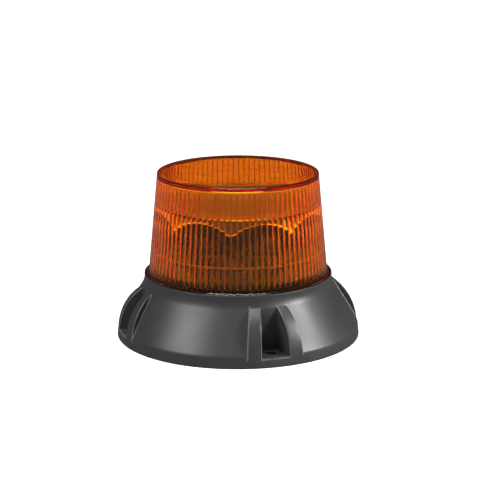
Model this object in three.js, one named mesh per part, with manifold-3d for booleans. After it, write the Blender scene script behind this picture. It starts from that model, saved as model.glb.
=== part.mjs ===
// An LED warning beacon: a tapered amber lens over a ring of half-bowl reflectors, on a flared base
// that four bolts hold down. Millimetres, +Z up, origin at the centre of the underside.
// The bolt pockets lie on the X and Y axes, and a reflector bowl faces every 45 degrees from +X.
import * as THREE from "three";
import { mergeVertices } from "three/addons/utils/BufferGeometryUtils.js";
import Module from "manifold-3d";

const wasm = await Module();
wasm.setup();

// ---------- Driving dimensions ----------
const GAP = 0.3; // left between pieces that touch
const ROUND = 56; // sides of a large turned piece
const INNER_ROUND = 40; // sides of a large turned piece that is hidden inside
const SMALL_ROUND = 10; // sides of a screw, boss or hole

const TOTAL_H = 108.8;
const WALL = 2.8; // moulded wall of the base

const RIM = { r: 80, headR: 79.4, height: 6.9, edge: 0.8 }; // band round the foot of the base
const CONE_FOOT = { r: 78.6, z: 8.66 };
const CONE_HEAD = { r: 63.2, z: 34 };
const NECK_R = 61.7;
const COLLAR_TOP = 42;
const LIP_IN_R = 60.7; // inside of the lip round the lens foot
const LEDGE_Z = 39.6; // ledge that the lens foot rests on
const RING_R = 58.1; // bayonet ring, inside
const RING_Z = 36.3; // bayonet ring, underside
const COLLAR_R = 60; // bore under the bayonet ring
const SHELF = { top: 31, under: 28, r: 43 };
const CAVITY_R = 76.4;
const RECESS_Z = 3.3; // depth of the recess for the bottom plate and gasket

const POCKETS = 4;
const POCKET = { back: 64, floor: 6, innerHalf: 5.6, outerHalf: 9.7 };
const RIB = { innerHalf: 12.9, outerHalf: 19.35, foot: [79.5, 1.3], head: [63.2, 34], sagitta: 3.6 };
const BOLT = { circleR: 68.5, count: POCKETS, startDeg: 0, holeR: 3.1, sides: 16 };

const LENS = { topR: 52.55, taper: 0.0938, wall: 2.5, edgeR: 1.8 };
const LENS_FOOT = { r: 60.3, under: 39.9, top: 42.4, flareTop: 45.5 };
const SKIRT = { outR: 57.7, inR: 55.4, z: 33 };
const LUG = { count: 3, halfDeg: 8, outR: 59.4, under: 33.3, top: 35.9 };
const TURN_DEG = 25; // lens turn from locked to release
const NOTCH_HALF_DEG = 10.5;

const TOWER = { r: 53.4, wall: 3, foot: 31.3, top: 56.7, plate: 3, boreR: 8, flangeR: 54.9, flangeH: 2.7 };
const TOWER_FINS = 12;
const SEAL = { r: 54, z: 37, tube: 0.95 };
const LED_BOARD = { r: 53.8, inR: 7, under: 57, top: 58.6 };
const BOWLS = 8;
const BOWL = { axisZ: 59.6, backR: 27, mouthR: 56, rise: 26.9, spread: 1.23 };
const DRUM = { foot: 58.9, top: 87.9, footR: 52.4, topR: 49.7, wall: 2.1, edge: 0.5 };
const LEDS_PER_BOWL = 3;
const LED = { size: 3.5, height: 1.2, r: 33.2, pitch: 5.4 };
const DRIVER = { r: 52.3, under: 15.4, top: 17 };

const BOTTOM_PLATE = { r: 76, under: 1.8, top: 3 };
const GASKET = { inR: 62, outR: 76, top: 1.5 };
// Screws, and the rings of bosses that they enter. The length is under the head.
const SCREW = { r: 1.3, clear: 1.65, headR: 2.6, headH: 1.2, sides: 8, tip: 1 };
const PLATE_BOSS = { r: 3.6, circleR: 57, count: 4, startDeg: 45, holeTop: 15, screwLength: 11 };
const DRIVER_POST = { r: 3, circleR: 49, count: 4, startDeg: 0, foot: 17.3, holeTop: 25, screwLength: 8 };
const TOWER_BOSS = { r: 3.2, circleR: 48.5, count: 4, startDeg: 22.5, top: 44, holeTop: 41, screwLength: 12 };
const REFLECTOR_POST = { r: 3.2, circleR: 14, count: 3, startDeg: 60, holeTop: 67.9, screwLength: 13 };

// Components on the driver board: where each stands, and how big it is.
const CAPACITOR = { x: -20, y: 16, r: 5, height: 9.5 };
const INDUCTOR = { x: -18, y: -16, inR: 3, outR: 7, height: 5.5 };
const CHIP = { x: 4, y: 18, size: [9, 9, 1.8] };
const DRIVER_SOCKET = { x: 22, y: 0, size: [6, 9, 5] };
const TERMINALS = { x: 0, y: 10, size: [16, 8, 7.5] };
const LED_PLUG = { x: 12, y: 0, size: [5, 8, 4] };
const FIN = { x: 34.5, length: 34, thickness: 1.8, depth: 9 }; // cooling fin under the tower's top
const GROMMET = { x: 0, y: 28, boreR: 3.2, neckR: 5.5, flangeR: 7.2 };
const VENT = { x: -32, y: 0, stemR: 3, capR: 5.5 };

// ---------- Materials ----------
const material = (color, roughness, metalness = 0) =>
  new THREE.MeshStandardMaterial({ color, roughness, metalness });
const AMBER = new THREE.MeshStandardMaterial({
  color: 0xff7a00,
  roughness: 0.08,
  transparent: true,
  opacity: 0.6,
});
const BLACK_PLASTIC = material(0x2a2b2d, 0.45);
const BLACK_METAL = material(0x1d1d1f, 0.55, 0.3);
const CHROME = material(0xd8dadc, 0.08, 1);
const STEEL = material(0xb8babd, 0.35, 1);
const RUBBER = material(0x161616, 0.85);
const BOARD_BLACK = material(0x26282a, 0.4);
const PLASTIC_WHITE = material(0xe8e8e4, 0.5);
const BOARD_GREEN = material(0x1f5a35, 0.5);
const LED_YELLOW = material(0xf2c230, 0.3);
const COPPER = material(0xb5651d, 0.4, 0.6);
const CHIP_BLACK = material(0x101012, 0.6);
const VENT_GREY = material(0x6d6f72, 0.6);

// ---------- Solids ----------
const rad = THREE.MathUtils.degToRad;
const range = (count) => Array.from({ length: count }, (_, i) => i);

// A closed geometry as a manifold solid.
function solid(geometry) {
  const bare = geometry.clone();
  bare.deleteAttribute("normal");
  bare.deleteAttribute("uv");
  const merged = mergeVertices(bare, 1e-3);
  return new wasm.Manifold(
    new wasm.Mesh({
      numProp: 3,
      vertProperties: new Float32Array(merged.attributes.position.array),
      triVerts: new Uint32Array(merged.index.array),
    }),
  );
}

// A manifold solid as a geometry with flat faces.
function geometryOf(made) {
  const mesh = made.getMesh();
  const geometry = new THREE.BufferGeometry();
  geometry.setAttribute("position", new THREE.BufferAttribute(mesh.vertProperties, 3));
  geometry.setIndex(new THREE.BufferAttribute(mesh.triVerts, 1));
  return geometry.toNonIndexed();
}

// A profile of [radius, height] points turned about Z, in order from the foot up the outside.
function turned(profile, sides = ROUND) {
  const points = profile.map(([r, z]) => new THREE.Vector2(r, z));
  return new THREE.LatheGeometry(points, sides).rotateX(Math.PI / 2);
}

// A closed ring section turned about Z: the profile comes back to its first point.
const ringTurned = (profile, sides) => turned([...profile, profile[0]], sides);

// An upright cylinder between two heights.
function post(r, z0, z1, sides = SMALL_ROUND) {
  const cylinder = new THREE.CylinderGeometry(r, r, z1 - z0, sides);
  return cylinder.rotateX(Math.PI / 2).translate(0, 0, (z0 + z1) / 2);
}

// An upright prism over an outline of [x, y] points.
function prism(outline, z0, z1) {
  const shape = new THREE.Shape(outline.map(([x, y]) => new THREE.Vector2(x, y)));
  const extruded = new THREE.ExtrudeGeometry(shape, { depth: z1 - z0, bevelEnabled: false });
  return extruded.translate(0, 0, z0);
}

// A prism that widens along +X, from one half-width to another.
function wedge(x0, half0, x1, half1, z0, z1) {
  return prism([[x0, -half0], [x1, -half1], [x1, half1], [x0, half0]], z0, z1);
}

// A sector of a ring, centred on the angle mid.
function sector(r0, r1, midDeg, halfDeg, z0, z1) {
  const shape = new THREE.Shape();
  shape.absarc(0, 0, r1, rad(midDeg - halfDeg), rad(midDeg + halfDeg), false);
  shape.absarc(0, 0, r0, rad(midDeg + halfDeg), rad(midDeg - halfDeg), true);
  const options = { depth: z1 - z0, bevelEnabled: false, curveSegments: 4 };
  return new THREE.ExtrudeGeometry(shape, options).translate(0, 0, z0);
}

// Points on the arc from one point to another that bulges by sagitta to the right of the way along,
// or to the left where sagitta is negative.
function bulge([r0, z0], [r1, z1], sagitta, steps) {
  const chord = Math.hypot(r1 - r0, z1 - z0);
  const height = Math.abs(sagitta);
  const radius = ((chord / 2) ** 2 + height ** 2) / (2 * height);
  const side = Math.sign(sagitta) / chord;
  return range(steps + 1).map((i) => {
    const along = (i / steps - 0.5) * chord;
    const off = (Math.sqrt(radius ** 2 - along ** 2) - (radius - height)) * side;
    const r = r0 + ((r1 - r0) * i) / steps + (z1 - z0) * off;
    const z = z0 + ((z1 - z0) * i) / steps + (r0 - r1) * off;
    return [r, z];
  });
}

// Copies of a geometry spaced evenly about Z, as solids.
function around(count, geometry, startDeg = 0) {
  return range(count).map((i) => solid(geometry.clone().rotateZ(rad(startDeg + (i * 360) / count))));
}

// Upright cylinders on a ring, as solids.
function onRing({ circleR, count, startDeg }, r, z0, z1, sides) {
  return around(count, post(r, z0, z1, sides).translate(circleR, 0, 0), startDeg);
}

// A block that stands on a height.
function block([x, y, height], under) {
  return new THREE.BoxGeometry(x, y, height).translate(0, 0, under + height / 2);
}

const addAll = (body, pieces) => pieces.reduce((sum, piece) => sum.add(piece), body);
const cutAll = (body, pieces) => pieces.reduce((rest, piece) => rest.subtract(piece), body);

// ---------- Scene graph ----------
const beacon = new THREE.Group();

// A named mesh in a group, moved to a place and turned about Z.
function place(group, name, geometry, look, x = 0, y = 0, z = 0, turn = 0) {
  const mesh = new THREE.Mesh(geometry, look);
  mesh.name = name;
  mesh.position.set(x, y, z);
  mesh.rotation.z = turn;
  group.add(mesh);
}

// Pan-head screws that point up into a ring of bosses, numbered from 1. Their heads end at height z.
function placeScrews(group, name, { circleR, count, startDeg, screwLength }, z) {
  const { r, headR, headH, sides, tip } = SCREW;
  const end = z + screwLength;
  const head = [[0, z - headH], [headR * 0.8, z - headH], [headR, z - headH * 0.6], [headR, z]];
  const screw = turned([...head, [r, z], [r, end - tip], [0, end]], sides);
  range(count).forEach((i) => {
    const angle = rad(startDeg + (i * 360) / count);
    const x = circleR * Math.cos(angle);
    const y = circleR * Math.sin(angle);
    place(group, `${name}_${i + 1}`, screw, STEEL, x, y, 0, angle);
  });
}

// ---------- Base ----------
// The radius of the base's straight flank at a height.
function flankR(z) {
  const slope = (CONE_FOOT.r - CONE_HEAD.r) / (CONE_HEAD.z - CONE_FOOT.z);
  return CONE_HEAD.r + (CONE_HEAD.z - z) * slope;
}

// The full outside of the base without its ribs: rim band, shoulder, flank, hollow of the neck and lip.
function baseOutside() {
  const shoulder = bulge([RIM.headR, RIM.height], [CONE_FOOT.r, CONE_FOOT.z], 0.25, 3);
  const neck = bulge([CONE_HEAD.r, CONE_HEAD.z], [NECK_R, COLLAR_TOP - 2.6], -0.35, 3);
  const lip = [[NECK_R, COLLAR_TOP - 0.3], [NECK_R - 0.3, COLLAR_TOP], [0, COLLAR_TOP]];
  return turned([[0, 0], [RIM.r - RIM.edge, 0], [RIM.r, RIM.edge], ...shoulder, ...neck, ...lip]);
}

// The proud cheeks either side of each pocket, filled across the pocket.
function ribs() {
  const crown = bulge(RIB.foot, RIB.head, RIB.sagitta, 8);
  const crownSolid = solid(turned([[0, 0.6], [RIB.foot[0] - 0.4, 0.6], ...crown, [0, RIB.head[1]]]));
  const inner = POCKET.back - 6;
  const outer = RIM.r + 4;
  const slope = (RIB.outerHalf - RIB.innerHalf) / (RIM.r - POCKET.back);
  const halfAt = (r) => RIB.innerHalf + (r - POCKET.back) * slope;
  const rib = wedge(inner, halfAt(inner), outer, halfAt(outer), 0, TOTAL_H / 2);
  return around(POCKETS, rib).map((one) => one.intersect(crownSolid));
}

// The space of a bolt pocket, grown by a wall on its back and sides.
function pocketSpace(wall, floor) {
  const outer = RIM.r + 6;
  const slope = (POCKET.outerHalf - POCKET.innerHalf) / (RIM.r - POCKET.back);
  const back = POCKET.back - wall;
  const halfAt = (r) => POCKET.innerHalf + (r - POCKET.back) * slope + wall;
  return wedge(back, halfAt(back), outer, halfAt(outer), floor, TOTAL_H / 2);
}

// The stepped bore that takes the lens: lip, ledge, bayonet ring and the bore under it.
function collarBore() {
  const above = COLLAR_TOP + 1;
  return solid(turned([[0, SHELF.top], [COLLAR_R, SHELF.top], [COLLAR_R, RING_Z], [RING_R, RING_Z],
    [RING_R, LEDGE_Z], [LIP_IN_R, LEDGE_Z], [LIP_IN_R, above], [0, above]]));
}

// The hollow under the shelf, and the opening through the shelf.
function baseHollow() {
  const inset = WALL * 1.17;
  const hollow = solid(turned([[0, -1], [CAVITY_R, -1], [CAVITY_R, RIM.height - 1], [flankR(9) - inset, 9],
    [flankR(SHELF.under) - inset, SHELF.under], [SHELF.r, SHELF.under], [SHELF.r, SHELF.top + 1],
    [0, SHELF.top + 1]]));
  return cutAll(hollow, around(POCKETS, pocketSpace(WALL, RECESS_Z)));
}

// Entry notches in the bayonet ring, one turn away from each locked lug.
const notches = () =>
  around(LUG.count, sector(RING_R - 1, COLLAR_R, TURN_DEG, NOTCH_HALF_DEG, RING_Z - 0.5, LEDGE_Z + 0.5));

// Stop blocks under the bayonet ring, at both ends of the turn.
function lugStops() {
  const reach = LUG.halfDeg + 1.5;
  const stop = (mid) => sector(RING_R + 0.2, COLLAR_R + 0.6, mid, 1, SHELF.top - 0.5, RING_Z + 0.5);
  const ends = [-reach, TURN_DEG + reach];
  return ends.flatMap((end) => around(LUG.count, stop(end)));
}

function baseHousing() {
  const bossTop = SHELF.under + 0.5;
  const ownPosts = [
    ...onRing(PLATE_BOSS, PLATE_BOSS.r, RECESS_Z, bossTop),
    ...onRing(DRIVER_POST, DRIVER_POST.r, DRIVER_POST.foot, bossTop),
  ];
  const holes = [
    ...onRing(PLATE_BOSS, SCREW.clear, RECESS_Z - 1, PLATE_BOSS.holeTop),
    ...onRing(DRIVER_POST, SCREW.clear, DRIVER_POST.foot - 1, DRIVER_POST.holeTop),
    ...onRing(TOWER_BOSS, SCREW.clear, SHELF.under - 1, SHELF.top + 1),
    ...onRing(BOLT, BOLT.holeR, RECESS_Z - 1, POCKET.floor + 1, BOLT.sides),
  ];
  const outside = addAll(solid(baseOutside()), ribs());
  const hollowed = outside.subtract(baseHollow()).subtract(collarBore());
  const slotted = cutAll(hollowed, around(POCKETS, pocketSpace(0, POCKET.floor)));
  return geometryOf(cutAll(addAll(slotted, [...lugStops(), ...ownPosts]), [...holes, ...notches()]));
}

function baseGasket() {
  const { inR, outR, top } = GASKET;
  const ring = solid(ringTurned([[inR, 0], [outR, 0], [outR, top], [inR, top]], INNER_ROUND));
  return geometryOf(cutAll(ring, onRing(BOLT, BOLT.holeR, -1, top + 1)));
}

function bottomPlate() {
  const { r, under, top } = BOTTOM_PLATE;
  const low = under - 1;
  const high = top + 1;
  return geometryOf(cutAll(solid(post(r, under, top, INNER_ROUND)), [
    ...onRing(BOLT, BOLT.holeR, low, high),
    ...onRing(PLATE_BOSS, SCREW.clear, low, high),
    solid(post(GROMMET.neckR + GAP, low, high).translate(GROMMET.x, GROMMET.y, 0)),
    solid(post(VENT.stemR + GAP, low, high).translate(VENT.x, VENT.y, 0)),
  ]));
}

// A rubber grommet whose groove holds the edge of the plate.
function cableGrommet() {
  const { under, top } = BOTTOM_PLATE;
  const { boreR, neckR, flangeR } = GROMMET;
  const flange = [[boreR, 0.4], [flangeR, 0.4], [flangeR, under - GAP], [neckR, under - GAP]];
  const lid = top + GAP;
  const head = [[neckR, lid], [flangeR - 0.6, lid], [flangeR - 1.4, top + 3.2], [boreR, top + 3.2]];
  return ringTurned([...flange, ...head], 24);
}

function ventPlug() {
  const { under, top } = BOTTOM_PLATE;
  const { stemR, capR } = VENT;
  return turned([[0, 0.3], [capR, 0.3], [capR, under - GAP], [stemR, under - GAP], [stemR, top + GAP],
    [stemR + 0.9, top + GAP], [stemR, top + 1.6], [0, top + 1.6]], 20);
}

function addBase() {
  const base = new THREE.Group();
  place(base, "base_housing", baseHousing(), BLACK_PLASTIC);
  place(base, "base_gasket", baseGasket(), RUBBER);
  place(base, "bottom_plate", bottomPlate(), BLACK_PLASTIC);
  placeScrews(base, "plate_screw", PLATE_BOSS, BOTTOM_PLATE.under - 0.1);
  place(base, "cable_grommet", cableGrommet(), RUBBER, GROMMET.x, GROMMET.y);
  place(base, "vent_plug", ventPlug(), VENT_GREY, VENT.x, VENT.y);
  beacon.add(base);
}

// ---------- Driver electronics under the shelf ----------
function addDriver() {
  const driver = new THREE.Group();
  const { r, under, top } = DRIVER;
  const board = solid(post(r, under, top, INNER_ROUND));
  const screwHoles = onRing(DRIVER_POST, SCREW.clear, under - 1, top + 1);
  place(driver, "driver_board", geometryOf(cutAll(board, screwHoles)), BOARD_GREEN);
  placeScrews(driver, "driver_screw", DRIVER_POST, under - 0.2);
  const onTop = top + GAP;
  const can = post(CAPACITOR.r, onTop, onTop + CAPACITOR.height, 20);
  place(driver, "capacitor", can, CHIP_BLACK, CAPACITOR.x, CAPACITOR.y);
  const { inR, outR, height } = INDUCTOR;
  const coil = [[inR, onTop], [outR, onTop], [outR, onTop + height], [inR, onTop + height]];
  place(driver, "inductor", ringTurned(coil, 20), COPPER, INDUCTOR.x, INDUCTOR.y);
  place(driver, "driver_chip", block(CHIP.size, onTop), CHIP_BLACK, CHIP.x, CHIP.y);
  const socket = block(DRIVER_SOCKET.size, onTop);
  place(driver, "driver_socket", socket, PLASTIC_WHITE, DRIVER_SOCKET.x, DRIVER_SOCKET.y);
  const terminals = block(TERMINALS.size, under - GAP - TERMINALS.size[2]);
  place(driver, "terminal_block", terminals, BLACK_PLASTIC, TERMINALS.x, TERMINALS.y);
  beacon.add(driver);
}

// ---------- Light engine ----------
// The cast tower that carries the LED board and takes its heat: a deep cup, upside down, with fins inside.
function lightTower() {
  const { r, wall, foot, top, plate, boreR, flangeR, flangeH } = TOWER;
  const groove = SEAL.tube + 0.2;
  const grooveR = SEAL.r - SEAL.tube - GAP;
  const cup = solid(ringTurned([
    [r - wall, foot], [flangeR, foot], [flangeR, foot + flangeH], [r, foot + flangeH],
    [r, SEAL.z - groove], [grooveR, SEAL.z - groove], [grooveR, SEAL.z + groove], [r, SEAL.z + groove],
    [r, top - 0.4], [r - 0.4, top], [boreR, top], [boreR, top - plate], [r - wall, top - plate],
  ], INNER_ROUND));
  const finUnder = top - plate + 0.5 - FIN.depth;
  const fin = block([FIN.length, FIN.thickness, FIN.depth], finUnder).translate(FIN.x, 0, 0);
  const fins = around(TOWER_FINS, fin, 90 / TOWER_FINS);
  const bosses = onRing(TOWER_BOSS, TOWER_BOSS.r, foot, TOWER_BOSS.top);
  const ownHoles = [
    ...onRing(TOWER_BOSS, SCREW.clear, foot - 1, TOWER_BOSS.holeTop),
    ...onRing(REFLECTOR_POST, SCREW.clear, top - plate - 1, top + 1),
  ];
  return geometryOf(cutAll(addAll(cup, [...fins, ...bosses]), ownHoles));
}

function ledBoard() {
  const { r, inR, under, top } = LED_BOARD;
  const disc = solid(ringTurned([[inR, under], [r, under], [r, top], [inR, top]], INNER_ROUND));
  return geometryOf(cutAll(disc, onRing(REFLECTOR_POST, SCREW.clear, under - 1, top + 1)));
}

// One bowl: a paraboloid that opens outward along +X, wider than it is high, grown by a wall.
function bowl(wall) {
  const depth = BOWL.mouthR - BOWL.backR;
  const steps = 4;
  const curve = range(steps).map((i) => {
    const x = depth * ((i + 1) / steps) ** 2;
    return [Math.sqrt(BOWL.rise * x) + wall, x];
  });
  const profile = [[0, -wall], ...curve, [0, depth]];
  const about = turned(profile, 20).rotateY(Math.PI / 2);
  return about.scale(1, BOWL.spread, 1).translate(BOWL.backR, 0, BOWL.axisZ);
}

// The metallised drum: a capped, thin-walled cone frustum that eight half-bowls open through.
function reflector() {
  const { foot, top, footR, topR, wall, edge } = DRUM;
  const skin = (z, inset) => footR + ((topR - footR) * (z - foot)) / (top - foot) - inset;
  const outside = [[0, foot], [footR, foot], [skin(top - edge, 0), top - edge], [topR - edge, top], [0, top]];
  const under = foot - 1;
  const roof = top - wall;
  const inside = [[0, under], [skin(under, wall), under], [skin(roof, wall), roof], [0, roof]];
  const hollow = solid(turned(inside, INNER_ROUND));
  const core = cutAll(hollow, around(BOWLS, bowl(wall)));
  const posts = onRing(REFLECTOR_POST, REFLECTOR_POST.r, foot, top - wall + 0.5);
  const holes = onRing(REFLECTOR_POST, SCREW.clear, foot - 1, REFLECTOR_POST.holeTop);
  const shell = cutAll(solid(turned(outside)), around(BOWLS, bowl(0))).subtract(core);
  return geometryOf(cutAll(addAll(shell, posts), holes));
}

// The feed from the driver up through the tower's bore to the LED board.
function ledWires() {
  const { x, y, size } = DRIVER_SOCKET;
  const socketTop = DRIVER.top + GAP + size[2];
  const path = new THREE.CatmullRomCurve3([
    new THREE.Vector3(x, y, socketTop + GAP),
    new THREE.Vector3(x, y, socketTop + 5),
    new THREE.Vector3(8, 0, 40),
    new THREE.Vector3(2, 0, 50),
    new THREE.Vector3(1.5, 0, 60),
    new THREE.Vector3(4.5, 0, 65.5),
    new THREE.Vector3(11.5, 0, 65.2),
    new THREE.Vector3(12, 0, 63.2),
  ]);
  const section = new THREE.Shape().absarc(0, 0, 1.4, 0, Math.PI * 2, false);
  const options = { extrudePath: path, steps: 16, curveSegments: 2, bevelEnabled: false };
  return new THREE.ExtrudeGeometry(section, options);
}

function addLeds(group) {
  const package3 = new THREE.BoxGeometry(LED.size, LED.size, LED.height);
  const z = LED_BOARD.top + 0.2 + LED.height / 2;
  range(BOWLS * LEDS_PER_BOWL).forEach((i) => {
    const angle = rad((Math.floor(i / LEDS_PER_BOWL) * 360) / BOWLS);
    const side = ((i % LEDS_PER_BOWL) - (LEDS_PER_BOWL - 1) / 2) * LED.pitch;
    const x = LED.r * Math.cos(angle) - side * Math.sin(angle);
    const y = LED.r * Math.sin(angle) + side * Math.cos(angle);
    place(group, `led_${String(i + 1).padStart(2, "0")}`, package3, LED_YELLOW, x, y, z, angle);
  });
}

function addLightEngine() {
  const engine = new THREE.Group();
  place(engine, "light_tower", lightTower(), BLACK_METAL);
  placeScrews(engine, "tower_screw", TOWER_BOSS, SHELF.under - 0.2);
  place(engine, "led_board", ledBoard(), BOARD_BLACK);
  addLeds(engine);
  place(engine, "led_plug", block(LED_PLUG.size, LED_BOARD.top + 0.2), PLASTIC_WHITE, LED_PLUG.x, LED_PLUG.y);
  place(engine, "led_wires", ledWires(), RUBBER);
  place(engine, "reflector", reflector(), CHROME);
  placeScrews(engine, "reflector_screw", REFLECTOR_POST, TOWER.top - TOWER.plate - 0.2);
  const section = range(6).map((i) => {
    const angle = rad(i * 60);
    return [SEAL.r + SEAL.tube * Math.cos(angle), SEAL.z + SEAL.tube * Math.sin(angle)];
  });
  place(engine, "lens_seal", ringTurned(section, INNER_ROUND), RUBBER);
  beacon.add(engine);
}

// ---------- Lens ----------
// A tapered cup, closed at the top, whose flared foot rests on the collar's ledge.
function lens() {
  const { topR, taper, wall, edgeR } = LENS;
  const outR = (z) => topR + (TOTAL_H - z) * taper;
  const inTop = TOTAL_H - wall;
  const flare = bulge([LENS_FOOT.r, LENS_FOOT.top], [outR(LENS_FOOT.flareTop), LENS_FOOT.flareTop], -0.3, 3);
  const edge = bulge([outR(TOTAL_H - edgeR), TOTAL_H - edgeR], [topR - edgeR, TOTAL_H], 0.55, 4);
  const skirt = [[SKIRT.inR, SKIRT.z], [SKIRT.outR, SKIRT.z], [SKIRT.outR, LENS_FOOT.under]];
  const corner = [[outR(inTop) - wall - 1, inTop], [outR(inTop - 1) - wall, inTop - 1]];
  const profile = [...skirt, [LENS_FOOT.r, LENS_FOOT.under], ...flare, ...edge, [0, TOTAL_H], [0, inTop],
    ...corner, [outR(44) - wall, 44], [SKIRT.inR, 41]];
  const start = profile.findIndex(([r], i) => r === 0 && profile[i - 1][0] === 0);
  return turned([...profile.slice(start), ...profile.slice(0, start)]);
}

function addLens() {
  const cover = new THREE.Group();
  const lugs = around(LUG.count, sector(SKIRT.outR - 0.6, LUG.outR, 0, LUG.halfDeg, LUG.under, LUG.top));
  place(cover, "lens", geometryOf(addAll(solid(lens()), lugs)), AMBER);
  beacon.add(cover);
}

addBase();
addDriver();
addLightEngine();
addLens();

export default beacon;
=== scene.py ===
import math

import bpy
import bmesh
from mathutils import Matrix, Vector


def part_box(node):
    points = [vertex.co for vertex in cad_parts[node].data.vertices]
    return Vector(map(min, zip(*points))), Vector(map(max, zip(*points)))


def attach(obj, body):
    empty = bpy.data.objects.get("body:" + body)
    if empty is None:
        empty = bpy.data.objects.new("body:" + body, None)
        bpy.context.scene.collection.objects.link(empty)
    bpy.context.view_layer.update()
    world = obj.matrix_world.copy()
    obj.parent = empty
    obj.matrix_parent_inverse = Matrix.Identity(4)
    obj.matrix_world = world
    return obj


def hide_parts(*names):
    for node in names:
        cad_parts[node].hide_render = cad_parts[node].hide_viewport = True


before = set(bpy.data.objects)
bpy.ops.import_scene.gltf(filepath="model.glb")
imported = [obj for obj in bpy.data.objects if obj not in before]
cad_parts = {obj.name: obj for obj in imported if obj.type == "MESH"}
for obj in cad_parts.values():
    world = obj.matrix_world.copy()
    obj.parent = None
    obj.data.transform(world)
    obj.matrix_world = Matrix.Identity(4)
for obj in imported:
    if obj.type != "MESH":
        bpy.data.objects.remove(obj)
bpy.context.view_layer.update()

MM = 0.001
TAU = 2 * math.pi

# ---------- Places, from the frame ----------
LENS_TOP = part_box("lens")[1].z
DRUM_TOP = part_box("reflector")[1].z
BOARD_LOW, BOARD_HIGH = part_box("led_board")
TOWER_LOW, TOWER_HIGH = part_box("light_tower")


# ---------- Mesh helpers ----------
def link(name, mesh, look, body):
    obj = bpy.data.objects.new(name, mesh)
    bpy.context.scene.collection.objects.link(obj)
    mesh.materials.append(look)
    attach(obj, body)
    return obj


def second_look(obj, look, chosen):
    """Gives the chosen faces another material."""
    obj.data.materials.append(look)
    for face in obj.data.polygons:
        if chosen(face):
            face.material_index = 1


def finish_mesh(name, points, faces, sharp_deg=35, looks=None):
    """A clean mesh: shared points merged, faces turned outward, smooth except at sharp edges."""
    mesh = bpy.data.meshes.new(name)
    made = bmesh.new()
    keys = {}
    verts = []
    for p in points:
        key = (round(p[0], 7), round(p[1], 7), round(p[2], 7))
        if key not in keys:
            keys[key] = made.verts.new(p)
        verts.append(keys[key])
    for n, face in enumerate(faces):
        corners = []
        for i in face:
            if verts[i] not in corners:
                corners.append(verts[i])
        if len(corners) > 2 and made.faces.get(corners) is None:
            made.faces.new(corners).material_index = looks[n] if looks else 0
    made.normal_update()
    if made.calc_volume(signed=True) < 0:
        bmesh.ops.reverse_faces(made, faces=made.faces)
    made.to_mesh(mesh)
    made.free()
    mesh.shade_smooth()
    mesh.set_sharp_from_angle(angle=math.radians(sharp_deg))
    return mesh


def grid_faces(columns, rows, closed_rows):
    """Quads between neighbouring columns of points, the last column joined to the first."""
    faces = []
    for c in range(columns):
        here, there = c * rows, (c + 1) % columns * rows
        for r in range(rows if closed_rows else rows - 1):
            up = (r + 1) % rows
            faces.append((here + r, there + r, there + up, here + up))
    return faces


def turned(name, profile, sides, closed=False, sharp_deg=35):
    """A profile of (radius, height) turned about Z."""
    points = []
    for s in range(sides):
        c, d = math.cos(TAU * s / sides), math.sin(TAU * s / sides)
        points += [(r * c, r * d, z) for r, z in profile]
    return finish_mesh(name, points, grid_faces(sides, len(profile), closed), sharp_deg)


def arc(cx, cz, radius, start_deg, end_deg, steps):
    """Points on an arc in the (radius, height) plane."""
    angles = [math.radians(start_deg + (end_deg - start_deg) * i / steps) for i in range(steps + 1)]
    return [(cx + radius * math.cos(a), cz + radius * math.sin(a)) for a in angles]


def curve3(p0, p1, p2, steps):
    """Points on a quadratic curve from p0 to p2 that is drawn towards p1."""
    out = []
    for i in range(steps + 1):
        t = i / steps
        a, b, c = (1 - t) ** 2, 2 * t * (1 - t), t * t
        out.append((a * p0[0] + b * p1[0] + c * p2[0], a * p0[1] + b * p1[1] + c * p2[1]))
    return out


def line(p0, p1, steps):
    across, up = p1[0] - p0[0], p1[1] - p0[1]
    return [(p0[0] + across * i / steps, p0[1] + up * i / steps) for i in range(steps + 1)]


def mm(points):
    return [(r * MM, z * MM) for r, z in points]


def resample(path, count):
    """The same path with evenly spaced points, its ends kept."""
    lengths = [0.0]
    for a, b in zip(path, path[1:]):
        lengths.append(lengths[-1] + math.hypot(b[0] - a[0], b[1] - a[1]))
    out = []
    k = 0
    for i in range(count):
        goal = lengths[-1] * i / (count - 1)
        while k < len(path) - 2 and lengths[k + 1] < goal:
            k += 1
        t = (goal - lengths[k]) / max(lengths[k + 1] - lengths[k], 1e-12)
        a, b = path[k], path[k + 1]
        out.append((a[0] + (b[0] - a[0]) * t, a[1] + (b[1] - a[1]) * t))
    return out


# ---------- Materials ----------
def new_material(name):
    look = bpy.data.materials.new(name)
    look.use_nodes = True
    nodes = look.node_tree.nodes
    return look, nodes, look.node_tree.links, nodes["Principled BSDF"]


def noise(nodes, links, scale, detail, source):
    node = nodes.new("ShaderNodeTexNoise")
    node.inputs["Scale"].default_value = scale
    node.inputs["Detail"].default_value = detail
    links.new(source, node.inputs["Vector"])
    return node.outputs["Fac"]


def ramp(nodes, links, source, low, high, from_low=0.3, from_high=0.7):
    node = nodes.new("ShaderNodeMapRange")
    node.inputs["From Min"].default_value = from_low
    node.inputs["From Max"].default_value = from_high
    node.inputs["To Min"].default_value = low
    node.inputs["To Max"].default_value = high
    links.new(source, node.inputs["Value"])
    return node.outputs["Result"]


def blend_colours(nodes, links, factor, first, second):
    node = nodes.new("ShaderNodeMix")
    node.data_type = "RGBA"
    node.inputs["A"].default_value = (*first, 1)
    node.inputs["B"].default_value = (*second, 1)
    links.new(factor, node.inputs["Factor"])
    return node.outputs["Result"]


def bump(nodes, links, height, distance, strength=1.0):
    node = nodes.new("ShaderNodeBump")
    node.inputs["Distance"].default_value = distance
    node.inputs["Strength"].default_value = strength
    links.new(height, node.inputs["Height"])
    return node.outputs["Normal"]


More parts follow.
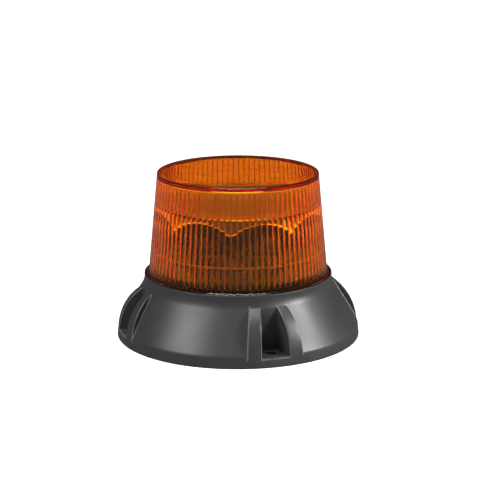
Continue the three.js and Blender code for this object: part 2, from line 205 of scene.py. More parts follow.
def textured(name, dark, light, rough_low, rough_high, grain, depth, metallic=0.0, patch=40):
    """A moulded or painted surface: slow colour and roughness patches over a fine grain."""
    look, nodes, links, shader = new_material(name)
    place = nodes.new("ShaderNodeTexCoord").outputs["Object"]
    slow = noise(nodes, links, patch, 4, place)
    fine = noise(nodes, links, grain, 3, place)
    colour = blend_colours(nodes, links, ramp(nodes, links, slow, 0, 1), dark, light)
    links.new(colour, shader.inputs["Base Color"])
    links.new(ramp(nodes, links, slow, rough_low, rough_high), shader.inputs["Roughness"])
    links.new(bump(nodes, links, fine, depth), shader.inputs["Normal"])
    shader.inputs["Metallic"].default_value = metallic
    return look


POLYCARBONATE_IOR = 1.586
AMBER_DEPTH, AMBER_DENSITY = (0.97, 0.5, 0.0, 1), 220  # the colour that the wall's depth leaves, and how fast
RIPPLE_SCALE, RIPPLE_DEPTH = 60, 0.00015


def amber(name, tint, clear, rough_low, rough_high):
    """Amber polycarbonate: tinted by its skin and its depth, with a faint ripple left by the mould."""
    look, nodes, links, shader = new_material(name)
    place = nodes.new("ShaderNodeTexCoord").outputs["Object"]
    shader.inputs["Base Color"].default_value = (*tint, 1)
    shader.inputs["Transmission Weight"].default_value = clear
    shader.inputs["IOR"].default_value = POLYCARBONATE_IOR
    ripple = noise(nodes, links, RIPPLE_SCALE, 2, place)
    links.new(ramp(nodes, links, ripple, rough_low, rough_high), shader.inputs["Roughness"])
    links.new(bump(nodes, links, ripple, RIPPLE_DEPTH), shader.inputs["Normal"])
    volume = nodes.new("ShaderNodeVolumeAbsorption")
    volume.inputs["Color"].default_value = AMBER_DEPTH
    volume.inputs["Density"].default_value = AMBER_DENSITY
    links.new(volume.outputs["Volume"], nodes["Material Output"].inputs["Volume"])
    return look


def maths(nodes, links, kind, a, b=None):
    node = nodes.new("ShaderNodeMath")
    node.operation = kind
    for socket, value in zip(node.inputs, (a, b)):
        if isinstance(value, bpy.types.NodeSocket):
            links.new(value, socket)
        elif value is not None:
            socket.default_value = value
    return node.outputs["Value"]


def grey(level):
    return (level, level, level)


PAINTED_LIGHT_INNER, PAINTED_LIGHT_OUTER = 0.034, 0.047  # painted light: the cap's colour brightens between these radii, for light gathered near the lens wall


def satin_cap_painted_light():
    """A satin light-coloured coating with painted light: dull in the middle and brightened towards its edge,
    where more light reaches the cap through the lens.
    """
    look, nodes, links, shader = new_material("satin_cap_painted_light")
    place = nodes.new("ShaderNodeTexCoord").outputs["Object"]
    split = nodes.new("ShaderNodeSeparateXYZ")
    links.new(place, split.inputs["Vector"])
    x, y = split.outputs["X"], split.outputs["Y"]
    x2, y2 = maths(nodes, links, "MULTIPLY", x, x), maths(nodes, links, "MULTIPLY", y, y)
    radius = maths(nodes, links, "SQRT", maths(nodes, links, "ADD", x2, y2))
    # painted light: the colour brightens towards the cap's edge
    edge = ramp(nodes, links, radius, 0, 1, PAINTED_LIGHT_INNER, PAINTED_LIGHT_OUTER)
    colour = blend_colours(nodes, links, edge, grey(0.62), grey(0.97))
    links.new(colour, shader.inputs["Base Color"])
    grain = noise(nodes, links, 700, 2, place)
    links.new(ramp(nodes, links, grain, 0.3, 0.45), shader.inputs["Roughness"])
    return look


# textured() takes: name, dark and light colour, roughness low and high, grain scale, grain depth, metallic.
BLACK_PLASTIC = textured("black_plastic", (0.022, 0.0218, 0.0235), (0.027, 0.0268, 0.0285),
                         0.36, 0.44, 2600, 0.00003)
# painted highlight: a lighter, glossier plastic for the cheeks' rounded edges, their feet and the pockets'
# lips
PAINTED_HIGHLIGHT_PLASTIC = textured("painted_highlight_plastic", (0.05, 0.05, 0.052), (0.1, 0.1, 0.103),
                        0.25, 0.38, 2600, 0.00002, patch=160)
# painted shade: darker than the black plastic, and matt, for the inside of the pockets
MATT_SHADED_PLASTIC = textured("matt_painted_shade_plastic", (0.01, 0.01, 0.0105), (0.014, 0.014, 0.0145),
                        0.6, 0.75, 1800, 0.00005)
AMBER = amber("amber_clear", (1.0, 0.58, 0.035), 0.99, 0.0, 0.03)
AMBER_RIDGE = amber("amber_ridge", (0.9, 0.62, 0.5), 0.6, 0.35, 0.5)
METALLISED = textured("metallised", grey(0.86), grey(0.9), 0.04, 0.09, 300, 0.000004, 1.0)
SATIN_PAINTED_LIGHT = satin_cap_painted_light()
TOWER_BLACK = textured("tower_black", (0.012, 0.012, 0.013), (0.02, 0.02, 0.021), 0.4, 0.5, 1500, 0.00003)
BLACK_BOARD = textured("black_board", grey(0.10), grey(0.14), 0.3, 0.4, 900, 0.00001)
BOARD_EDGE = textured("board_edge", (0.5, 0.46, 0.34), (0.62, 0.57, 0.43), 0.5, 0.6, 1500, 0.00002)
RUBBER = textured("rubber", grey(0.015), grey(0.025), 0.7, 0.85, 1200, 0.00004)
FOAM = textured("foam_rubber", (0.02, 0.02, 0.021), (0.045, 0.045, 0.046), 0.85, 0.95, 1800, 0.00012)
STEEL = textured("screw_steel", (0.5, 0.5, 0.51), (0.62, 0.62, 0.63), 0.25, 0.4, 800, 0.00001, 1.0)
COPPER = textured("copper", (0.5, 0.2, 0.07), (0.62, 0.28, 0.1), 0.25, 0.4, 900, 0.00002, 1.0)
GREEN_BOARD = textured("green_board", (0.01, 0.09, 0.035), (0.02, 0.14, 0.055), 0.3, 0.45, 700, 0.00001)
COMPONENT = textured("component_black", grey(0.012), grey(0.02), 0.5, 0.65, 1500, 0.00002)
WHITE_PLASTIC = textured("white_plastic", (0.68, 0.68, 0.65), (0.76, 0.76, 0.73), 0.4, 0.5, 1200, 0.00002)
GREY_PLASTIC = textured("grey_plastic", (0.12, 0.12, 0.125), (0.17, 0.17, 0.175), 0.5, 0.6, 1500, 0.00003)
PHOSPHOR = textured("led_yellow", (0.75, 0.5, 0.05), (0.9, 0.65, 0.1), 0.2, 0.35, 1500, 0.00001)


# ---------- Base housing ----------
# Sections are lists of (radius, height) in millimetres, here and below.
POCKETS = 4
POCKET_BACK = 64
RIM_OUT = 80
SIDE_LINE_END = 60.1  # the pockets' side lines are only followed in to this radius
FLOOR_Z = 6
NECK_FOOT = (61.7, 39.4)
FLANK_HEAD = (63.2, 34)
BAND_HEAD = (79.4, 6.9)
SLOT_LINE = (5.6, 9.7)  # half-width of the pocket at its back and at the rim
INNER_LINE = (8.4, 12.5)  # the same for the pocket's inner wall
CHEEK_LINE = (12.9, 19.35)  # the same for the outer faces of the cheeks
EDGE_R = 0.5  # rounding of the cheeks' edges
HOLLOW_R = 0.6  # fillet where walls meet
LIP_R = 78.6  # where the pocket's floor starts to turn down over the rim
SHELF_Z = 28
RECESS_TOP = 3.3  # the plate's recess in the underside
FLANK_POINTS = 60  # points down every outline between the neck and the rim band


def line_angle(half_widths, r, offset=0.0):
    """The angle at which radius r meets a pocket side line, moved sideways by offset."""
    r = max(r, SIDE_LINE_END)
    slope = (half_widths[1] - half_widths[0]) / (RIM_OUT - POCKET_BACK)
    c = half_widths[0] + offset - slope * POCKET_BACK
    steep = 1 + slope * slope
    x = (-c * slope + math.sqrt(c * c * slope * slope - steep * (c * c - r * r))) / steep
    return math.atan2(c + slope * x, x)


def neck_profile():
    lip = line((60.7, 39.6), (60.7, 41.7), 2) + arc(61.0, 41.7, 0.3, 180, 90, 3)[1:]
    lip += arc(61.35, 41.65, 0.35, 90, 0, 4)
    neck = line((61.7, 41.2), NECK_FOOT, 3) + curve3(NECK_FOOT, (61.85, 36.6), FLANK_HEAD, 8)[1:]
    return lip + neck


def flank_profile():
    path = line(FLANK_HEAD, (78.6, 8.66), 20) + curve3((78.6, 8.66), (79.3, 7.5), BAND_HEAD, 6)[1:]
    return resample(path, FLANK_POINTS)


def cheek_profile():
    """One bulging sweep from a crisp step at the neck down to the rim band, which it meets upright."""
    step = line(FLANK_HEAD, (63.5, 34.5), 3)
    sweep = curve3((63.5, 34.5), (77.6, 25.0), BAND_HEAD, 40)[1:]
    return resample(step + sweep, FLANK_POINTS)


def slot_profile():
    """Down the back wall of the pocket, round on to its floor and out to the lip."""
    back = curve3(FLANK_HEAD, (64.0, 31.5), (64.05, 26), 6) + line((64.05, 26), (64.15, 7.2), 12)[1:]
    floor = arc(65.35, 7.2, 1.2, 180, 270, 5)[1:] + line((65.35, FLOOR_Z), (LIP_R, FLOOR_Z), 12)[1:]
    lip = curve3((LIP_R, FLOOR_Z), (79.45, FLOOR_Z), (79.5, 5.2), 4)[1:]
    return resample(back + floor + lip, FLANK_POINTS)


def rim_profile(head):
    """The rim band, its underside and the recess for the plate."""
    band = line(head, (80, 1.0), 6)[1:]
    foot = arc(79.3, 0.7, 0.7, 0, -90, 4)[1:]
    return band + foot + [(77.0, 0.0), (76.6, 0.12), (76.4, 0.4), (76.4, RECESS_TOP)]


def inner_profile(over_pocket):
    """Inside of the housing from the recess up to the shelf, through it and up the stepped bore."""
    if over_pocket:
        wall = line((76.4, RECESS_TOP), (61.2, RECESS_TOP), 4)[1:]
        wall += line((61.2, RECESS_TOP), (61.2, SHELF_Z), 6)[1:]
    else:
        wall = line((76.4, RECESS_TOP), (76.2, 5.8), 2)[1:] + line((76.2, 5.8), (74.6, 9.2), 2)[1:]
        wall += line((74.6, 9.2), (63.6, SHELF_Z), 6)[1:]
    return wall + [(43, SHELF_Z), (43, 31), (60, 31), (60, 36.3), (58.1, 36.3), (58.1, 39.6)]


def edge_steps(radius, steps):
    """(sideways, drop) pairs round a quarter circle, from the wall's edge on to the top."""
    angles = [math.radians(90 * i / steps) for i in range(steps + 1)]
    return [(radius * (1 - math.cos(a)), radius * (1 - math.sin(a))) for a in angles]


def wall_columns(half_widths, low, high, inner, rising):
    """Columns up or down one wall of a cheek: a fillet at its foot and a rounded edge at its top."""
    foot, head = [], []
    for side, drop in edge_steps(HOLLOW_R, 4):
        foot.append((-side, low, high, ("low", drop), "foot"))
    for side, drop in edge_steps(EDGE_R, 4):
        head.append((side, low, high, ("high", drop), "head"))
    order = list(reversed(foot)) + head
    if not rising:
        order = [(-s, *rest) for s, *rest in reversed(order)]
    return [(lambda r, s=s: line_angle(half_widths, r, s), *rest, inner) for s, *rest in order]


def between(first, second, shares, kind, inner):
    """Columns of one outline, spread between two lines."""
    def angle(r, share):
        return first(r) + (second(r) - first(r)) * share
    return [(lambda r, s=s: angle(r, s), kind, kind, ("low", 0.0), None, inner) for s in shares]


def side_line(half_widths, offset=0.0):
    """A pocket side line as a function from radius to angle."""
    return lambda r: line_angle(half_widths, r, offset)


def ray(angle):
    """The same for a straight line out from the axis."""
    return lambda r: angle


def half_pocket_columns():
    """The housing's cross-sections from a pocket's centre line to half way to the next pocket."""
    slot, cheek, flank = "slot", "cheek", "flank"
    slot_side, slot_top = side_line(SLOT_LINE, -HOLLOW_R), side_line(SLOT_LINE, EDGE_R)
    inner_side = side_line(INNER_LINE)
    cheek_top, cheek_foot = side_line(CHEEK_LINE, -EDGE_R), side_line(CHEEK_LINE, HOLLOW_R)
    middle, half_way = ray(0.0), ray(math.pi / POCKETS)
    columns = between(middle, slot_side, (0, 0.2, 0.4, 0.6, 0.8), slot, True)
    columns += wall_columns(SLOT_LINE, slot, cheek, True, True)
    columns += between(slot_top, inner_side, (0.5,), cheek, True)
    for over_pocket in (True, False):  # the pocket's inner wall steps at this line
        columns += between(inner_side, inner_side, (0,), cheek, over_pocket)
    columns += between(inner_side, cheek_top, (0.25, 0.5, 0.75), cheek, False)
    columns += wall_columns(CHEEK_LINE, flank, cheek, False, False)
    columns += between(cheek_foot, half_way, [i / 14 for i in range(1, 14)], flank, False)
    return columns + between(half_way, half_way, (0,), flank, False)


def housing_column(column, profiles):
    """One column's closed loop of (angle, r, z)."""
    angle, low, high, (base, drop), _, inner = column
    out = []
    for a, b in zip(profiles[low], profiles[high]):
        gap = math.hypot(b[0] - a[0], b[1] - a[1])
        inset = min(drop, gap / 2)
        share = 0.0 if gap < 1e-6 else (inset / gap if base == "low" else 1 - inset / gap)
        r, z = a[0] + (b[0] - a[0]) * share, a[1] + (b[1] - a[1]) * share
        out.append((angle(r), r, z))
    out += [(angle(r), r, z) for r, z in profiles["inner", inner]]
    return out


def housing_mesh():
    neck = neck_profile()
    profiles = {}
    for kind, flank in (("slot", slot_profile()), ("cheek", cheek_profile()), ("flank", flank_profile())):
        profiles[kind] = neck + flank[1:] + rim_profile(flank[-1])
    for over in (True, False):
        profiles["inner", over] = inner_profile(over)
    # Each column is its loop of points, the edge that it belongs to and its outline.
    half = [(housing_column(c, profiles), c[4], c[1]) for c in half_pocket_columns()]
    points, marks = [], []
    for k in range(POCKETS):
        centre = k * TAU / POCKETS
        # The half pocket and its mirror image.
        ring = [(-1, *one) for one in reversed(half)] + [(1, *one) for one in half[1:]]
        for side, loop, edge, outline in ring[:-1]:
            marks.append((edge, outline))
            for a, r, z in loop:
                t = centre + side * a
                points.append((r * math.cos(t) * MM, r * math.sin(t) * MM, z * MM))
    rows = len(half[0][0])
    faces = grid_faces(len(marks), rows, True)
    looks = []
    for n, face in enumerate(faces):
        column = n // rows
        looks.append(finish_of(points, face, marks[column], marks[(column + 1) % len(marks)]))
    return finish_mesh("housing", points, faces, looks=looks)


PLAIN, PAINTED_HIGHLIGHT, MATT_SHADED = 0, 1, 2  # the housing's material slots: plain, a painted highlight, and matt with painted shade


def finish_of(points, face, here, there):
    """Painted highlight, a lighter and glossier plastic, on the cheeks' rounded edges, their outer feet and
    the pockets' lips; matt plastic with painted shade, darker, inside a pocket.
    """
    centre = sum((Vector(points[i]) for i in face), Vector()) / len(face) / MM
    r = math.hypot(centre.x, centre.y)
    if centre.z < FLOOR_Z - 0.9 or r < FLANK_HEAD[0] - 0.7:  # the rim band, the underside and the neck
        return PLAIN
    edge = here[0] if here[0] == there[0] else None
    in_slot = here[1] == there[1] == "slot"
    if edge == "head" or (edge == "foot" and not in_slot):
        return PAINTED_HIGHLIGHT
    if in_slot and centre.z < FLOOR_Z + 0.1 and r > LIP_R:
        return PAINTED_HIGHLIGHT
    return MATT_SHADED if in_slot and r > POCKET_BACK - 0.1 else PLAIN


BOLT_CIRCLE, BOLT_HOLE_R = 68.5, 3.1


def bore(name, places, r, low, high, sides=48):
    """A cutter object of upright cylinders."""
    made = bmesh.new()
    for x, y in places:
        centre = Matrix.Translation((x * MM, y * MM, (low + high) / 2 * MM))
        bmesh.ops.create_cone(made, cap_ends=True, segments=sides, radius1=r * MM, radius2=r * MM,
                              depth=(high - low) * MM, matrix=centre)
    mesh = bpy.data.meshes.new(name)
    made.to_mesh(mesh)
    made.free()
    obj = bpy.data.objects.new(name, mesh)
    bpy.context.scene.collection.objects.link(obj)
    return obj


def cut(obj, cutter, sharp_deg=35):
    """Cuts with an exact boolean, applies it and removes the cutter."""
    modifier = obj.modifiers.new("cut", "BOOLEAN")
    modifier.operation = "DIFFERENCE"
    modifier.solver = "EXACT"
    modifier.object = cutter
    graph = bpy.context.evaluated_depsgraph_get()
    made = bpy.data.meshes.new_from_object(obj.evaluated_get(graph))
    obj.modifiers.clear()
    old = obj.data
    obj.data = made
    bpy.data.meshes.remove(old)
    bpy.data.objects.remove(cutter)
    made.shade_smooth()
    made.set_sharp_from_angle(angle=math.radians(sharp_deg))


def on_circle(count, radius, start_deg=0):
    angles = [math.radians(start_deg) + TAU * i / count for i in range(count)]
    return [(radius * math.cos(a), radius * math.sin(a)) for a in angles]


def make_housing():
    obj = link("housing", housing_mesh(), BLACK_PLASTIC, "base")
    for look in (PAINTED_HIGHLIGHT_PLASTIC, MATT_SHADED_PLASTIC):
        obj.data.materials.append(look)
    cut(obj, bore("bolt_cut", on_circle(POCKETS, BOLT_CIRCLE), BOLT_HOLE_R, 2, 8))
    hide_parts("base_housing")


make_housing()


# ---------- Lens ----------
FLUTES = 90
FLUTE_STEPS = 16  # columns across one flute
FLUTE_DEPTH = 0.55
FLUTE_R = 54  # where the flutes are measured
FLUTE_HEAD, FLUTE_FOOT = 103.0, 45.2  # they have their full depth between these heights
WALL = 2.5
TAPER = 0.0938  # how much wider the lens gets for each millimetre down
TOP_R = 52.55
TOP_EDGE_R = 1.0  # rounding of the top's outer edge
CORNER_R = 1.4  # fillet inside it


def lens_out_r(z):
    return TOP_R + (LENS_TOP / MM - z) * TAPER


def flute_relief(share):
    """How far a flute's round surface stands in from its two edges, across one flute from 0 to 1."""
    half = math.pi * FLUTE_R / FLUTES
    radius = (half * half + FLUTE_DEPTH ** 2) / (2 * FLUTE_DEPTH)
    across = (share - 0.5) * 2 * half
    return math.sqrt(radius * radius - across * across) - (radius - FLUTE_DEPTH)


def flute_line(z, share):
    """A point where the flutes meet, and how much of their depth they have there."""
    return (lens_out_r(z) - WALL + FLUTE_DEPTH, z, share)


def smooth(path):
    """Points of the lens's section that the flutes don't touch."""
    return [(r, z, 0.0) for r, z in path]


def lens_inside():
    """Down the inner wall, from the middle of the top to the skirt that runs inside the collar."""
    roof = LENS_TOP / MM - WALL
    corner = lens_out_r(roof - 1) - WALL + FLUTE_DEPTH - CORNER_R
    inner = smooth([(0.0, roof), (15, roof), (30, roof), (42, roof)])
    inner += smooth(arc(corner, roof - CORNER_R, CORNER_R, 90, 0, 5))
    inner += [flute_line(z, share) for z, share in ((104.4, 0.35), (103.8, 0.75), (FLUTE_HEAD, 1.0))]
    inner += [flute_line(FLUTE_HEAD + (FLUTE_FOOT - FLUTE_HEAD) * i / 15, 1.0) for i in range(1, 15)]
    for z, share in ((FLUTE_FOOT, 1.0), (44.9, 0.9), (44.6, 0.65), (44.4, 0.3), (44.25, 0.0)):
        inner.append(flute_line(z, share))
    below_flutes = lens_out_r(43.6) - WALL + FLUTE_DEPTH - 0.4
    inner += smooth([(below_flutes, 43.6), (56.4, 42.4), (55.5, 41), (55.45, 34)])
    return inner + smooth([(55.7, 33.4), (57.3, 33.4), (57.6, 33.8), (57.65, 39.9)])


def lens_outside():
    """Round the foot that rests on the collar and up the outer wall to the middle of the top."""
    top = LENS_TOP / MM
    foot = smooth([(60.0, 39.95), (60.3, 40.2), (60.3, 41.6)]) + smooth(arc(59.95, 41.85, 0.35, 0, 75, 3))
    foot += smooth(curve3((59.75, 42.3), (58.8, 42.5), (lens_out_r(43.8), 43.8), 6))
    below_edge = top - TOP_EDGE_R
    outer = smooth([(lens_out_r(z), z) for z in (54, 64, 74, 84, 94, 102, below_edge - 1)])
    outer += smooth(arc(lens_out_r(below_edge) - TOP_EDGE_R, below_edge, TOP_EDGE_R, 5, 90, 8))
    return foot + outer + smooth([(40, top), (25, top), (12, top), (0.0, top)])


def is_ridge(face, loop):
    """Whether a face lies on the thin matt ridge between two flutes."""
    columns = sorted(i // len(loop) for i in face)
    start = columns[0] if columns[-1] - columns[0] < 2 else columns[-1]
    fluted = min(loop[i % len(loop)][2] for i in face) > 0.3
    return fluted and start % FLUTE_STEPS in (0, FLUTE_STEPS - 1)


def lens_mesh():
    loop = lens_inside() + lens_outside()
    points = []
    sides = FLUTES * FLUTE_STEPS
    for s in range(sides):
        c, d = math.cos(TAU * s / sides), math.sin(TAU * s / sides)
        relief = flute_relief((s % FLUTE_STEPS) / FLUTE_STEPS)
        for r, z, share in loop:
            rr = (r - relief * share) * MM
            points.append((rr * c, rr * d, z * MM))
    faces = grid_faces(sides, len(loop), False)
    return finish_mesh("lens", points, faces, 40, [int(is_ridge(face, loop)) for face in faces])


def make_lens():
    obj = link("amber_lens", lens_mesh(), AMBER, "lens")
    obj.data.materials.append(AMBER_RIDGE)
    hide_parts("lens")


make_lens()


# ---------- Reflector, LED board and tower ----------
BOWLS = 8
BOWL_STEPS = 28  # columns across one bowl
DRUM_FOOT_R, DRUM_TOP_R = 52.4, 49.7
DRUM_FOOT_Z, SKIN_FOOT_Z = 58.7, 58.9
AXIS_Z, BACK_R = 59.6, 27.0  # height of the bowls' axis and radius of their backs
RISE, SPREAD = 26.9, 1.23  # how steeply a bowl rises outward, and how much wider than round it is
BORE_R, BORE_TOP = 17.0, 82.0
FINE = 192  # sides of the board and the tower
BOARD_BORE_R, BOARD_EDGE_R = 7, 0.25
TOWER_R, TOWER_IN_R, TOWER_SEAT_R, TOWER_BORE_R = 53.4, 50.4, 54.9, 8
TOWER_WALL = 3
SEAL_R, SEAL_LOW, SEAL_HIGH = 52.7, 35.8, 38.2  # groove for the lens seal


def skin_r(z):
    """Radius of the drum's outer skin."""
    return DRUM_FOOT_R + (DRUM_TOP_R - DRUM_FOOT_R) * (z - SKIN_FOOT_Z) / (DRUM_TOP / MM - SKIN_FOOT_Z)


def bowl_z(angle, r):
    inside = RISE * (r * math.cos(angle) - BACK_R) - (r * math.sin(angle) / SPREAD) ** 2
    return AXIS_Z + math.sqrt(max(inside, 0.0))


def bowl_back(angle):
    """The radius at which a bowl comes down to its axis plane, in one direction."""
    a, b = (math.sin(angle) / SPREAD) ** 2, RISE * math.cos(angle)
    if a < 1e-9:
        return BACK_R
    return (b - math.sqrt(b * b - 4 * a * RISE * BACK_R)) / (2 * a)


def bowl_mouth(angle):
    """The radius at which a bowl meets the drum's skin, in one direction."""
    r = 52.0  # a first guess, close enough to settle
    for _ in range(20):
        r = skin_r(bowl_z(angle, r))
    return r


def reflector_mesh():
    top = DRUM_TOP / MM
    rows = 22  # points from a bowl's back to its mouth
    edge = 0.45  # rounding of the bowls' rims
    shoulder = 1.2  # rounding of the cap's edge
    points = []
    loop_size = 0
    sides = BOWLS * BOWL_STEPS
    for s in range(sides):
        t = TAU * (s - BOWL_STEPS / 2) / sides
        angle = ((s % BOWL_STEPS) - BOWL_STEPS / 2) * TAU / sides
        back, mouth = bowl_back(angle), bowl_mouth(angle)
        loop = [(0.0, BORE_TOP), (BORE_R, BORE_TOP), (BORE_R, DRUM_FOOT_Z), (back, DRUM_FOOT_Z)]
        radii = [back + (mouth - edge - back) * (i / rows) ** 2 for i in range(rows + 1)]
        loop += [(r, bowl_z(angle, r)) for r in radii]
        rim = bowl_z(angle, mouth)
        loop += curve3(loop[-1], (mouth, rim), (skin_r(rim + edge), rim + edge), 4)[1:]
        loop += line((skin_r(rim + edge), rim + edge), (skin_r(top - shoulder), top - shoulder), 5)[1:]
        loop += arc(skin_r(top - shoulder) - shoulder, top - shoulder, shoulder, 0, 90, 6)[1:]
        loop += [(35, top), (18, top), (0.0, top)]
        loop_size = len(loop)
        points += [(r * math.cos(t) * MM, r * math.sin(t) * MM, z * MM) for r, z in loop]
    return finish_mesh("drum", points, grid_faces(sides, loop_size, False), 30)


def board_mesh():
    low, high, r, e = BOARD_LOW.z / MM, BOARD_HIGH.z / MM, BOARD_HIGH.x / MM, BOARD_EDGE_R
    rim = [(r - e, low), (r, low + e), (r, high - e), (r - e, high)]
    return turned("board", mm([(BOARD_BORE_R, low)] + rim + [(BOARD_BORE_R, high)]), FINE, True)


def tower_mesh():
    """A cup upside down, with a seat round its foot and a groove for the seal."""
    foot, head, r = TOWER_LOW.z / MM, TOWER_HIGH.z / MM, TOWER_R
    seat = [(TOWER_IN_R, foot), (TOWER_SEAT_R, foot), (TOWER_SEAT_R, foot + 2.7), (r, foot + 2.9)]
    groove = [(r, SEAL_LOW), (SEAL_R, SEAL_LOW), (SEAL_R, SEAL_HIGH), (r, SEAL_HIGH)]
    top = [(r, head - 0.5), (r - 0.5, head), (TOWER_BORE_R, head), (TOWER_BORE_R, head - TOWER_WALL)]
    section = seat + groove + top + [(TOWER_IN_R, head - TOWER_WALL)]
    return turned("tower", mm(section), FINE, True)


def on_board_edge(face):
    return math.hypot(face.center.x, face.center.y) > BOARD_HIGH.x - 0.3 * MM


def make_light_engine():
    drum = link("reflector_drum", reflector_mesh(), METALLISED, "base")
    second_look(drum, SATIN_PAINTED_LIGHT, lambda face: face.normal.z > 0.99)
    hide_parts("reflector")
    board = link("emitter_board", board_mesh(), BLACK_BOARD, "base")
    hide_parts("led_board")
    second_look(board, BOARD_EDGE, on_board_edge)
    tower = link("tower", tower_mesh(), TOWER_BLACK, "base")
    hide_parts("light_tower")


make_light_engine()


# ---------- LEDs ----------
LEDS = 24
LED_R, LED_TOP, DOME_R = 1.75, 0.8, 1.4
LED_SUNK = 0.2  # how far the package stands into the board


def led_mesh():
    """A round package with a phosphor dome."""
    package = [(0, 0.0), (LED_R, 0.0), (LED_R, LED_TOP - 0.1), (LED_R - 0.15, LED_TOP)]
    dome = [(DOME_R + 0.05, LED_TOP)] + arc(0, LED_TOP - 0.05, DOME_R, 3, 90, 8)
    return turned("led", mm(package + dome), 32)


def make_leds():
    mesh = led_mesh()
    mesh.materials.append(PHOSPHOR)
    for i in range(1, LEDS + 1):
        node = f"led_{i:02d}"
        low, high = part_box(node)
        obj = bpy.data.objects.new(f"emitter_{i:02d}", mesh)
        bpy.context.scene.collection.objects.link(obj)
        obj.location = ((low.x + high.x) / 2, (low.y + high.y) / 2, low.z - LED_SUNK * MM)
        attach(obj, "base")
        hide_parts(node)


make_leds()


# ---------- Carried-over CAD nodes ----------
NODE_LOOKS = {
    "base_gasket": FOAM, "bottom_plate": BLACK_PLASTIC, "cable_grommet": RUBBER, "vent_plug": GREY_PLASTIC,
    "driver_board": GREEN_BOARD, "inductor": COPPER, "capacitor": COMPONENT, "driver_chip": COMPONENT,
    "driver_socket": WHITE_PLASTIC, "terminal_block": COMPONENT, "led_plug": WHITE_PLASTIC,
    "led_wires": RUBBER, "lens_seal": RUBBER,
}
for name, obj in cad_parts.items():
    look = STEEL if "screw" in name else NODE_LOOKS.get(name)
    if look is not None:
        obj.data.materials.clear()
        obj.data.materials.append(look)


# ---------- Studio ----------
FLOOR_R, FLOOR_BACK = 2.0, 1.5  # a disc whose middle is this far behind the beacon
FLOOR_THICK = 0.002
FLOOR_GLOW = 0.3
CAMERA_TURN = math.radians(-17.5)
CAMERA_RISE = math.radians(14.957)
CAMERA_DISTANCE = 1.1223
CAMERA_LENS = 122.8
AIM_RIGHT, AIM_UP = 0.00785, 0.00558  # the view's middle, beside the beacon's
MIDDLE = Vector((0, 0, 0.05))  # the beacon's middle
TURN = Matrix.Rotation(CAMERA_TURN, 3, "Z")  # from the frame to the photograph's side of the beacon
SUN_POWER, SUN_ANGLE = 2.3, math.radians(40)
SKY = ((0.48, 0.14), (0.53, 0.01), (0.75, 0.03), (0.95, 0.22))  # place from nadir to zenith, brightness
BACKDROP = 1.05  # what the camera sees behind the floor


def make_floor():
    look = textured("pale_floor", grey(0.93), grey(0.95), 0.8, 0.9, 200, 0.00002, patch=2)
    glow = look.node_tree.nodes["Principled BSDF"].inputs
    glow["Emission Color"].default_value = (1, 1, 1, 1)
    glow["Emission Strength"].default_value = FLOOR_GLOW
    mesh = turned("floor", [(0, -FLOOR_THICK), (FLOOR_R, -FLOOR_THICK), (FLOOR_R, 0), (0, 0)], 128)
    floor = bpy.data.objects.new("floor", mesh)
    bpy.context.scene.collection.objects.link(floor)
    mesh.materials.append(look)
    floor.location = TURN @ Vector((0, FLOOR_BACK, 0))
    floor.visible_glossy = False  # the bright floor isn't mirrored in the beacon


def aim(obj, target):
    way = target - obj.location
    obj.rotation_euler = way.to_track_quat("-Z", "Y").to_euler()


def softbox(name, place, size, power):
    lamp = bpy.data.lights.new(name, "AREA")
    lamp.shape = "RECTANGLE"
    lamp.size, lamp.size_y = size
    lamp.energy = power
    obj = bpy.data.objects.new(name, lamp)
    bpy.context.scene.collection.objects.link(obj)
    obj.location = TURN @ Vector(place)
    aim(obj, MIDDLE)
    return obj


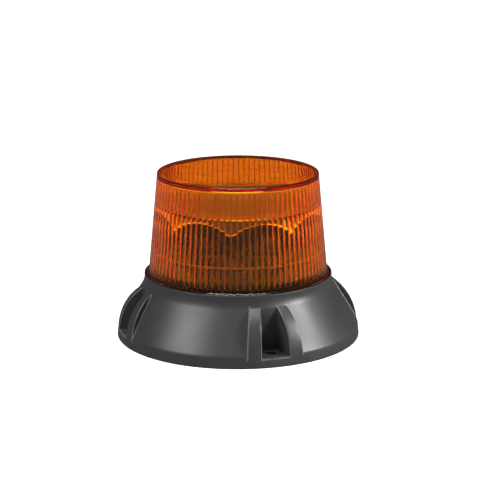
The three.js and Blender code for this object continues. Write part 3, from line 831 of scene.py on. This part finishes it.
def dim_surroundings():
    """White behind the floor, but a dim studio in reflections: darkest just above the horizon."""
    world = bpy.data.worlds.new("studio")
    bpy.context.scene.world = world
    world.use_nodes = True
    nodes, links = world.node_tree.nodes, world.node_tree.links
    split = nodes.new("ShaderNodeSeparateXYZ")
    links.new(nodes.new("ShaderNodeTexCoord").outputs["Generated"], split.inputs["Vector"])
    height = ramp(nodes, links, split.outputs["Z"], 0, 1, -1, 1)
    band = nodes.new("ShaderNodeValToRGB").color_ramp
    links.new(height, nodes["Color Ramp"].inputs["Fac"])
    for place, level in SKY:
        band.elements.new(place).color = (*grey(level), 1)
    band.elements[0].color = (*grey(SKY[0][1]), 1)
    band.elements[-1].color = (*grey(SKY[-1][1]), 1)
    pick = nodes.new("ShaderNodeMix")
    pick.data_type = "RGBA"
    pick.inputs["B"].default_value = (*grey(BACKDROP), 1)
    links.new(nodes["Color Ramp"].outputs["Color"], pick.inputs["A"])
    links.new(nodes.new("ShaderNodeLightPath").outputs["Is Camera Ray"], pick.inputs["Factor"])
    links.new(pick.outputs["Result"], nodes["Background"].inputs["Color"])


def make_studio():
    make_floor()
    dim_surroundings()
    sun = bpy.data.lights.new("overhead", "SUN")
    sun.energy = SUN_POWER
    sun.angle = SUN_ANGLE
    obj = bpy.data.objects.new("overhead", sun)
    bpy.context.scene.collection.objects.link(obj)
    # The softboxes shape the black base. They leave out the lens, whose flat top mirrors them as glare.
    not_lens = bpy.data.collections.new("not_lens")
    not_lens.objects.link(bpy.data.objects["amber_lens"])
    not_lens.collection_objects[0].light_linking.link_state = "EXCLUDE"
    for lamp in (softbox("left_front", (-0.66, -0.37, 0.70), (0.45, 0.45), 7.6),
                 softbox("right_rear", (0.87, -0.28, 0.46), (0.22, 0.4), 13)):
        lamp.light_linking.receiver_collection = not_lens
    scene = bpy.context.scene
    scene.view_settings.view_transform = "Standard"
    # Light runs a long way inside the solid amber, so its paths need more turns than usual.
    scene.cycles.max_bounces = 24
    scene.cycles.glossy_bounces = 16
    scene.cycles.transmission_bounces = 24


def make_camera():
    """A long lens from a little left of the front pocket, looking slightly down."""
    level = Vector((math.sin(CAMERA_TURN), -math.cos(CAMERA_TURN), 0))
    back = level * math.cos(CAMERA_RISE) + Vector((0, 0, math.sin(CAMERA_RISE)))
    lens = bpy.data.cameras.new("camera")
    lens.lens = CAMERA_LENS
    camera = bpy.data.objects.new("camera", lens)
    bpy.context.scene.collection.objects.link(camera)
    camera.location = MIDDLE + back * CAMERA_DISTANCE
    right = Vector((0, 0, 1)).cross(back).normalized()
    up = back.cross(right)
    aim(camera, MIDDLE + right * AIM_RIGHT + up * AIM_UP)
    bpy.context.scene.camera = camera


make_studio()
make_camera()
